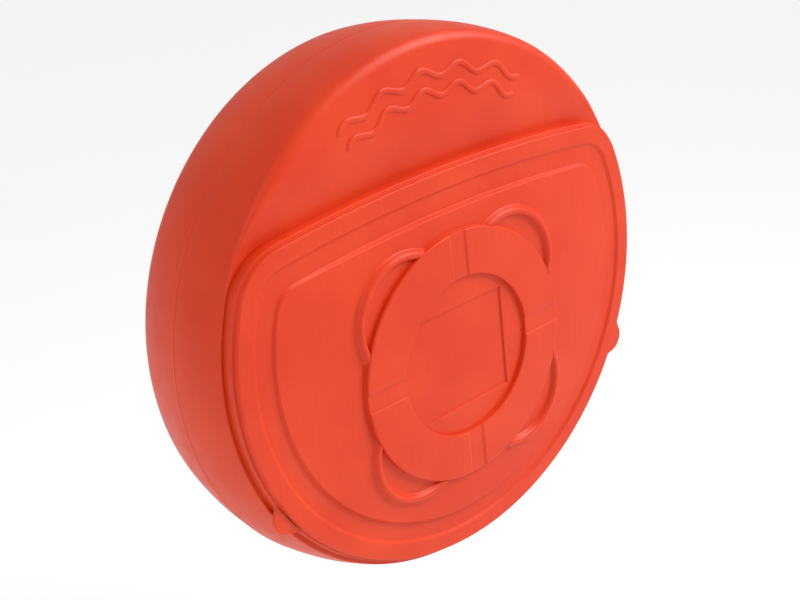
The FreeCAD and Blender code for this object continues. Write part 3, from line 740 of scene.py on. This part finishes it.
def cover_back_rows():
    """Rows of the hollow back, from behind the label out to the side wall's end."""
    cover = bpy.context.scene.buoy_cover
    wall = cover.wall

    def circle(radius, depth):
        def place(column):
            angle = column_angle(column, COVER_COLUMNS)
            x = radius * math.cos(angle)
            z = cover.emblem_z + radius * math.sin(angle)
            return Vector((x, PANEL_Y + (dome_depth(x, z) + wall if depth is None else depth), z))
        return place

    groove = -cover.emblem_height + wall
    rows = [circle(40 * MM, 7 * MM), circle(112 * MM, 7 * MM), circle(115 * MM, None)]
    inner = cover.emblem_inner + wall
    outer = cover.emblem_outer - wall
    section = rounded([(inner - 2 * MM, 5 * MM, 0), (inner, 4.8 * MM, 1 * MM), (inner, groove, 2 * MM),
                       (outer, groove, 3 * MM), (outer, 5.6 * MM, 1 * MM),
                       (outer + 2 * MM, 5.7 * MM, 0)], 3)
    rows += [circle(radius, depth) for radius, depth in section]

    def panel_back(share):
        def place(column):
            angle = column_angle(column, COVER_COLUMNS)
            x, z = outline_place(cover.emblem_z, angle, 70 * MM, 32 * MM)
            start = outer + 2 * MM
            x += (start * math.cos(angle) - x) * (1 - share)
            z += (cover.emblem_z + start * math.sin(angle) - z) * (1 - share)
            return Vector((x, PANEL_Y + dome_depth(x, z) + wall, z))
        return place

    rows += [panel_back(share) for share in (0.33, 0.66, 1)]
    rows.append(cover_outline_row(68 * MM, 0, 34 * MM, 1, wall))
    rows.append(cover_outline_row(64 * MM, cover.channel + wall, 38 * MM))
    section = rounded([
        (60 * MM, cover.channel + wall, 0),
        (25 * MM, cover.channel + wall, 1.5 * MM),
        (25 * MM, cover.border + wall, 1.5 * MM),
        (8.5 * MM, cover.border + wall, 2 * MM),
        (8.5 * MM, cover.ledge + wall, 1 * MM),
        (4 * MM, cover.ledge + wall, 1 * MM),
        (wall - SIDE_DRAFT + 3.3 * MM, cover.side_end, 0),
    ], 3)
    rows += [cover_outline_row(inset, depth) for inset, depth in section]
    return rows


def cover_rows():
    """All rows of the cover, from the label field out to the side and round the back."""
    front = cover_outer_rows() + panel_rows() + emblem_rows() + label_rows()
    return list(reversed(front)) + list(reversed(cover_back_rows()))


class BUOY_OT_cover(bpy.types.Operator):
    """Build the D-shaped cover with its channel, panel and ring picture"""
    bl_idname = "buoy.cover"
    bl_label = "Cover"

    def execute(self, context):
        mesh = grow_rows(cover_rows(), COVER_COLUMNS)
        piece = add_piece("cover_skin", mesh, shell_polyethylene(), "cover")
        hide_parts("front_cover")
        for side in (-1, 1):
            mesh = tab_mesh(side)
            name = "cover_tab_left" if side < 0 else "cover_tab_right"
            add_piece(name, mesh, shell_polyethylene(), "cover")
        return {"FINISHED"}


def tab_mesh(side):
    """Finger tab: a rounded tongue that runs out of the cover's side."""
    cover = bpy.context.scene.buoy_cover
    half = 38 * MM
    reach = 23 * MM
    thick = 5 * MM
    points = [Vector((-half, 0, -3 * MM)), Vector((-half, 0, 0))]
    for step in range(1, 8):
        share = step / 8
        x = -half + half * 0.42 * share
        points.append(Vector((x, 0, reach * 0.48 * (1 - math.cos(share * math.pi / 2)))))
    for step in range(17):
        turn = math.radians(152 - 124 * step / 16)
        points.append(Vector((half * 0.655 * math.cos(turn), 0, reach * (0.02 + 0.98 * math.sin(turn)))))
    points += [Vector((-point.x, 0, point.z)) for point in reversed(points[:9])]
    mesh = bmesh.new()
    verts = [mesh.verts.new(point) for point in points]
    face = mesh.faces.new(verts)
    made = bmesh.ops.extrude_face_region(mesh, geom=[face])
    moved = [item for item in made["geom"] if isinstance(item, bmesh.types.BMVert)]
    bmesh.ops.translate(mesh, vec=Vector((0, thick, 0)), verts=moved)
    bmesh.ops.recalc_face_normals(mesh, faces=mesh.faces)
    rims = [edge for edge in mesh.edges if abs(edge.verts[0].co.y - edge.verts[1].co.y) < 1e-6]
    bmesh.ops.bevel(mesh, geom=rims, offset=1.6 * MM, segments=4, profile=0.5, affect="EDGES", material=-1)
    angle = side * math.radians(90 + 28.8)
    place = Matrix.Translation((0, PANEL_Y + cover.ledge, cover.centre_z))
    place = place @ Matrix.Rotation(angle, 4, "Y") @ Matrix.Translation((0, 0, COVER_RADIUS - 1 * MM))
    bmesh.ops.transform(mesh, matrix=place, verts=mesh.verts)
    bmesh.ops.recalc_face_normals(mesh, faces=mesh.faces)
    return mesh


# ---- ring buoy --------------------------------------------------------------

RING_INNER = 220 * MM
BAND_WIDTH = 50 * MM
BAND_THICK = 0.6 * MM


def oval_sweep(grow, span, start, steps):
    """Ring buoy's oval section swept round the Y axis through an angle."""
    mesh = bmesh.new()
    half_width = (RING_RADIUS - RING_INNER) / 2 + grow
    half_thick = (ring_high.y - ring_low.y) / 2 + grow
    middle = (RING_RADIUS + RING_INNER) / 2
    whole = span >= 2 * math.pi
    made = bmesh.ops.create_circle(mesh, cap_ends=not whole, segments=56, radius=1)
    bmesh.ops.scale(mesh, vec=Vector((half_width, half_thick, 1)), verts=made["verts"])
    bmesh.ops.translate(mesh, vec=Vector((middle, -RING_DEPTH, 0)), verts=made["verts"])
    first = Matrix.Rotation(start, 3, "Y")
    bmesh.ops.rotate(mesh, cent=Vector(), matrix=first, verts=made["verts"])
    bmesh.ops.spin(mesh, geom=mesh.verts[:] + mesh.edges[:] + mesh.faces[:],
                   cent=Vector(), axis=Vector((0, 1, 0)), dvec=Vector(),
                   angle=span, steps=steps, use_merge=whole, use_duplicate=False)
    bmesh.ops.remove_doubles(mesh, verts=mesh.verts, dist=1e-6)
    bmesh.ops.recalc_face_normals(mesh, faces=mesh.faces)
    bmesh.ops.translate(mesh, vec=Vector((0, 0, RING_CENTRE_Z)), verts=mesh.verts)
    return mesh


class BUOY_OT_ring(bpy.types.Operator):
    """Build the ring buoy's smooth skin and its four reflective bands"""
    bl_idname = "buoy.ring"
    bl_label = "Ring buoy"

    def execute(self, context):
        mesh = oval_sweep(0, 2 * math.pi, 0, 192)
        skin = add_piece("ring_skin", mesh, ring_polyethylene(), "ring", False)
        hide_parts("ring_shell")
        span = BAND_WIDTH / RING_RADIUS
        for number in range(4):
            start = -(math.pi / 2 * number - span / 2)
            mesh = oval_sweep(BAND_THICK, -span, start, 8)
            name = "ring_band_%d" % (number + 1)
            band = add_piece(name, mesh, reflective_tape(), "ring")
            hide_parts("reflective_band_%d" % (number + 1))
        return {"FINISHED"}


# ---- finishes ---------------------------------------------------------------

def add(tree, kind, values=None, links=None):
    """Add a node, set its properties or inputs by name, and link its inputs."""
    made = tree.nodes.new(kind)
    for name, value in (values or {}).items():
        if hasattr(made, name):
            setattr(made, name, value)
        else:
            made.inputs[name].default_value = value
    for name, socket in (links or {}).items():
        tree.links.new(socket, made.inputs[name])
    return made


def new_material(name):
    """Empty node material, and where its object coordinates come from."""
    material = bpy.data.materials.new(name)
    material.use_nodes = True
    tree = material.node_tree
    tree.nodes.clear()
    place = add(tree, "ShaderNodeTexCoord").outputs["Object"]
    return material, tree, place


def finish_material(tree, shader):
    add(tree, "ShaderNodeOutputMaterial", links={"Surface": shader.outputs["BSDF"]})


def noise(tree, place, size, detail=2.0, stretch=None):
    """Noise whose marks are about this size in metres, drawn out by stretch."""
    if stretch:
        place = add(tree, "ShaderNodeMapping", {"Scale": stretch}, {"Vector": place}).outputs["Vector"]
    made = add(tree, "ShaderNodeTexNoise", {"Scale": 1 / size, "Detail": detail}, {"Vector": place})
    return made.outputs["Fac"]


def ramp(tree, value, low, high, to_low=0.0, to_high=1.0):
    made = add(tree, "ShaderNodeMapRange",
               {"From Min": low, "From Max": high, "To Min": to_low, "To Max": to_high}, {"Value": value})
    return made.outputs["Result"]


def mix(tree, share, first, second):
    """Colour between two, each a socket or a fixed colour."""
    made = add(tree, "ShaderNodeMix", {"data_type": "RGBA"}, {0: share})
    for index, item in ((6, first), (7, second)):
        if isinstance(item, bpy.types.NodeSocket):
            tree.links.new(item, made.inputs[index])
        else:
            made.inputs[index].default_value = item
    return made.outputs[2]


def shade(rgba, factor):
    return (rgba[0] * factor, rgba[1] * factor, rgba[2] * factor, 1.0)


def shell_polyethylene():
    """Rotomoulded polyethylene: satin, slightly uneven, with faint streaks and scuffs."""
    if "rotomoulded_polyethylene" in bpy.data.materials:
        return bpy.data.materials["rotomoulded_polyethylene"]
    finish = bpy.context.scene.buoy_finish
    material, tree, place = new_material("rotomoulded_polyethylene")
    patches = ramp(tree, noise(tree, place, 0.12, 3.0), 0.35, 0.7)
    base = mix(tree, patches, tuple(finish.shell), tuple(finish.shell_pale))
    # vertical flow streaks, 3 mm wide and about 150 mm long
    streaks = ramp(tree, noise(tree, place, 0.003, 3.0, (1, 1, 0.02)), 0.45, 0.75, 0.0, 0.14)
    base = mix(tree, streaks, base, shade(finish.shell, 0.72))
    # short rubs left by handling
    rubs = ramp(tree, noise(tree, place, 0.012, 5.0, (0.35, 1, 1.6)), 0.66, 0.8, 0.0, 0.3)
    base = mix(tree, rubs, base, shade(finish.shell_pale, 1.12))
    rough = ramp(tree, noise(tree, place, 0.03, 4.0), 0.3, 0.7, 0.36, 0.47)
    # mould texture about 1.2 mm across, over slow waves of the wall
    grain = noise(tree, place, 0.0012, 2.0)
    fine = add(tree, "ShaderNodeBump", {"Strength": 0.10, "Distance": 0.0002}, {"Height": grain})
    slow = add(tree, "ShaderNodeBump", {"Strength": 0.2, "Distance": 0.0012},
               {"Height": noise(tree, place, 0.09, 1.0), "Normal": fine.outputs["Normal"]})
    shader = add(tree, "ShaderNodeBsdfPrincipled",
                 {"IOR": 1.54, "Specular IOR Level": 0.24},
                 {"Base Color": base, "Roughness": rough, "Normal": slow.outputs["Normal"]})
    finish_material(tree, shader)
    return material


def ring_polyethylene():
    """Blow-moulded polyethylene of the ring: brighter and glossier than the case."""
    finish = bpy.context.scene.buoy_finish
    material, tree, place = new_material("moulded_ring_polyethylene")
    patches = ramp(tree, noise(tree, place, 0.08, 3.0), 0.35, 0.7)
    base = mix(tree, patches, tuple(finish.ring), shade(finish.ring, 0.86))
    rough = ramp(tree, noise(tree, place, 0.02, 4.0), 0.3, 0.7, 0.28, 0.4)
    bump = add(tree, "ShaderNodeBump", {"Strength": 0.2, "Distance": 0.0006},
               {"Height": noise(tree, place, 0.04)})
    shader = add(tree, "ShaderNodeBsdfPrincipled", {"IOR": 1.5, "Subsurface Weight": 0.05},
                 {"Base Color": base, "Roughness": rough, "Normal": bump.outputs["Normal"]})
    finish_material(tree, shader)
    return material


def closed_cell_foam():
    """Polyurethane foam: cream, dull and full of 2 mm cells."""
    finish = bpy.context.scene.buoy_finish
    material, tree, place = new_material("closed_cell_foam")
    cells = add(tree, "ShaderNodeTexVoronoi", {"Scale": 500.0}, {"Vector": place}).outputs["Distance"]
    base = mix(tree, ramp(tree, cells, 0.0, 0.8), shade(finish.foam, 0.8), tuple(finish.foam))
    bump = add(tree, "ShaderNodeBump", {"Strength": 0.5, "Distance": 0.0006}, {"Height": cells})
    shader = add(tree, "ShaderNodeBsdfPrincipled", {"Roughness": 0.9},
                 {"Base Color": base, "Normal": bump.outputs["Normal"]})
    finish_material(tree, shader)
    return material


def reflective_tape():
    """Glass-bead tape: silver cells 3 mm wide between pale seams."""
    if "reflective_tape_film" in bpy.data.materials:
        return bpy.data.materials["reflective_tape_film"]
    finish = bpy.context.scene.buoy_finish
    material, tree, place = new_material("reflective_tape_film")
    cells = add(tree, "ShaderNodeTexVoronoi", {"feature": "DISTANCE_TO_EDGE", "Scale": 330.0},
                {"Vector": place})
    seam = ramp(tree, cells.outputs["Distance"], 0.03, 0.09)
    base = mix(tree, seam, (0.86, 0.86, 0.84, 1.0), tuple(finish.tape))
    rough = ramp(tree, cells.outputs["Distance"], 0.03, 0.3, 0.5, 0.28)
    bump = add(tree, "ShaderNodeBump", {"Strength": 0.3, "Distance": 0.0002}, {"Height": seam})
    shader = add(tree, "ShaderNodeBsdfPrincipled", {"Metallic": 0.45},
                 {"Base Color": base, "Roughness": rough, "Normal": bump.outputs["Normal"]})
    finish_material(tree, shader)
    return material


def moulded_nylon():
    """Glass-filled nylon: dark grey, matt, with a fine spark-eroded grain."""
    finish = bpy.context.scene.buoy_finish
    material, tree, place = new_material("glass_filled_nylon")
    base = mix(tree, ramp(tree, noise(tree, place, 0.03, 4.0), 0.3, 0.7), tuple(finish.plastic),
               shade(finish.plastic, 1.35))
    rough = ramp(tree, noise(tree, place, 0.01, 3.0), 0.3, 0.7, 0.5, 0.62)
    bump = add(tree, "ShaderNodeBump", {"Strength": 0.3, "Distance": 0.0002},
               {"Height": noise(tree, place, 0.0008)})
    shader = add(tree, "ShaderNodeBsdfPrincipled", {"IOR": 1.52},
                 {"Base Color": base, "Roughness": rough, "Normal": bump.outputs["Normal"]})
    finish_material(tree, shader)
    return material


def rolled_stainless_steel():
    """Cold-rolled stainless steel: long fine rolling lines along the bar."""
    finish = bpy.context.scene.buoy_finish
    material, tree, place = new_material("rolled_stainless_steel")
    lines = noise(tree, place, 0.001, 3.0, (0.03, 1, 1))
    base = mix(tree, ramp(tree, lines, 0.3, 0.7), shade(finish.steel, 0.8), tuple(finish.steel))
    rough = ramp(tree, lines, 0.3, 0.7, 0.26, 0.42)
    bump = add(tree, "ShaderNodeBump", {"Strength": 0.15, "Distance": 0.0001}, {"Height": lines})
    shader = add(tree, "ShaderNodeBsdfPrincipled", {"Metallic": 1.0},
                 {"Base Color": base, "Roughness": rough, "Normal": bump.outputs["Normal"]})
    finish_material(tree, shader)
    return material


def rivet_aluminium():
    """Aluminium rivet stock: pale, soft-looking and slightly dulled."""
    finish = bpy.context.scene.buoy_finish
    material, tree, place = new_material("rivet_aluminium")
    spots = noise(tree, place, 0.002, 3.0)
    base = mix(tree, ramp(tree, spots, 0.3, 0.7), shade(finish.rivet, 0.75), tuple(finish.rivet))
    rough = ramp(tree, spots, 0.3, 0.7, 0.35, 0.5)
    shader = add(tree, "ShaderNodeBsdfPrincipled", {"Metallic": 1.0},
                 {"Base Color": base, "Roughness": rough})
    finish_material(tree, shader)
    return material


def moulded_rubber():
    """EPDM rubber: near black, dull, with a faint bloom."""
    finish = bpy.context.scene.buoy_finish
    material, tree, place = new_material("moulded_epdm_rubber")
    bloom = ramp(tree, noise(tree, place, 0.02, 4.0), 0.45, 0.75)
    base = mix(tree, bloom, tuple(finish.rubber), shade(finish.rubber, 2.2))
    rough = ramp(tree, noise(tree, place, 0.005, 3.0), 0.3, 0.7, 0.6, 0.78)
    shader = add(tree, "ShaderNodeBsdfPrincipled", {"IOR": 1.52}, {"Base Color": base, "Roughness": rough})
    finish_material(tree, shader)
    return material


class BUOY_OT_finishes(bpy.types.Operator):
    """Give every carried-over piece its material"""
    bl_idname = "buoy.finishes"
    bl_label = "Finishes of the fittings"

    def execute(self, context):
        makers = {
            "orange_polyethylene": shell_polyethylene,
            "ring_polyethylene": ring_polyethylene,
            "foam": closed_cell_foam,
            "reflective_tape": reflective_tape,
            "grey_plastic": moulded_nylon,
            "stainless_steel": rolled_stainless_steel,
            "aluminium": rivet_aluminium,
            "black_rubber": moulded_rubber,
        }
        made = {}
        for subpart in frame["record"]["subparts"]:
            slot = subpart["material_slot"]
            if slot not in made:
                made[slot] = makers[slot]()
            for holder in frame["nodes"][subpart["node"]].material_slots:
                holder.material = made[slot]
        return {"FINISHED"}


# ---- studio -----------------------------------------------------------------

def area_light(name, place, target, size, power, tint):
    data = bpy.data.lights.new(name, "AREA")
    data.shape = "RECTANGLE"
    data.size, data.size_y = size
    data.energy = power
    data.color = linear(tint)[:3]
    light = bpy.data.objects.new(name, data)
    bpy.context.scene.collection.objects.link(light)
    light.location = place
    light.rotation_euler = (Vector(target) - Vector(place)).to_track_quat("-Z", "Y").to_euler()


class BUOY_OT_stage(bpy.types.Operator):
    """Set up the floor, the soft light and the camera"""
    bl_idname = "buoy.stage"
    bl_label = "Studio"

    def execute(self, context):
        scene = context.scene
        cover = scene.buoy_cover
        floor_z = case_low.z - 0.5
        mesh = bmesh.new()
        bmesh.ops.create_grid(mesh, x_segments=1, y_segments=1, size=30)
        bmesh.ops.translate(mesh, vec=Vector((0, 0, floor_z)), verts=mesh.verts)
        data = bpy.data.meshes.new("floor")
        mesh.to_mesh(data)
        mesh.free()
        floor = bpy.data.objects.new("floor", data)
        scene.collection.objects.link(floor)
        material, tree, place = new_material("painted_floor")
        pale = scene.buoy_finish.floor
        tone = mix(tree, noise(tree, place, 1.5), tuple(pale), shade(pale, 0.99))
        shader = add(tree, "ShaderNodeBsdfPrincipled", {"Roughness": 0.9}, {"Base Color": tone})
        finish_material(tree, shader)
        data.materials.append(material)

        world = bpy.data.worlds.new("studio")
        scene.world = world
        world.use_nodes = True
        world.node_tree.nodes["Background"].inputs["Color"].default_value = (1, 1, 1, 1)
        world.node_tree.nodes["Background"].inputs["Strength"].default_value = 0.5
        scene.view_settings.view_transform = "Standard"
        target = (0, PANEL_Y, 0)
        sun = bpy.data.lights.new("key", "SUN")
        sun.energy = 2.0
        sun.angle = math.radians(38)
        key = bpy.data.objects.new("key", sun)
        scene.collection.objects.link(key)
        key.rotation_euler = Vector((0.62, -0.52, 0.78)).to_track_quat("Z", "Y").to_euler()
        area_light("near_key", (1.5, -1.5, 1.2), target, (0.9, 0.9), 17, "FFFFFF")
        area_light("fill", (-3.2, -0.6, 1.6), target, (0.8, 2.4), 26, "FFFFFF")

        data = bpy.data.cameras.new("camera")
        data.sensor_width = 36
        data.lens = 56.39
        camera = bpy.data.objects.new("camera", data)
        scene.collection.objects.link(camera)
        azimuth = math.radians(-39.52)
        elevation = math.radians(23.37)
        roll = math.radians(-6.67)
        back = Vector((math.sin(azimuth) * math.cos(elevation), -math.cos(azimuth) * math.cos(elevation),
                       math.sin(elevation)))
        level = Vector((math.cos(azimuth), math.sin(azimuth), 0))
        upright = back.cross(level)
        right = level * math.cos(roll) + upright * math.sin(roll)
        up = upright * math.cos(roll) - level * math.sin(roll)
        aim = Vector((0, PANEL_Y, cover.emblem_z))
        aside = 97.8 * MM
        above = -80.4 * MM
        place = aim + back * 1.8536 - right * aside - up * above
        turn = Matrix((right, up, back)).transposed().to_4x4()
        camera.matrix_world = Matrix.Translation(place) @ turn
        scene.camera = camera
        return {"FINISHED"}


class BUOY_PT_panel(bpy.types.Panel):
    """Lists the pieces that can be built"""
    bl_idname = "BUOY_PT_panel"
    bl_label = "Ring buoy case"
    bl_space_type = "VIEW_3D"
    bl_region_type = "UI"
    bl_category = "Ring buoy case"

    def draw(self, context):
        for step in STEPS:
            self.layout.operator(step.bl_idname)


SETTINGS = (CaseSettings, CoverSettings, FinishSettings)
STEPS = (BUOY_OT_stage, BUOY_OT_case, BUOY_OT_waves, BUOY_OT_cover, BUOY_OT_ring, BUOY_OT_finishes)


def register():
    for kind in (*SETTINGS, *STEPS, BUOY_PT_panel):
        bpy.utils.register_class(kind)
    bpy.types.Scene.buoy_case = bpy.props.PointerProperty(type=CaseSettings)
    bpy.types.Scene.buoy_cover = bpy.props.PointerProperty(type=CoverSettings)
    bpy.types.Scene.buoy_finish = bpy.props.PointerProperty(type=FinishSettings)


def unregister():
    del bpy.types.Scene.buoy_case
    del bpy.types.Scene.buoy_cover
    del bpy.types.Scene.buoy_finish
    for kind in (BUOY_PT_panel, *reversed(STEPS), *reversed(SETTINGS)):
        bpy.utils.unregister_class(kind)


def main():
    register()
    bpy.ops.buoy.stage()
    bpy.ops.buoy.case()
    bpy.ops.buoy.waves()
    bpy.ops.buoy.cover()
    bpy.ops.buoy.ring()
    bpy.ops.buoy.finishes()


if __name__ == "__main__":
    main()
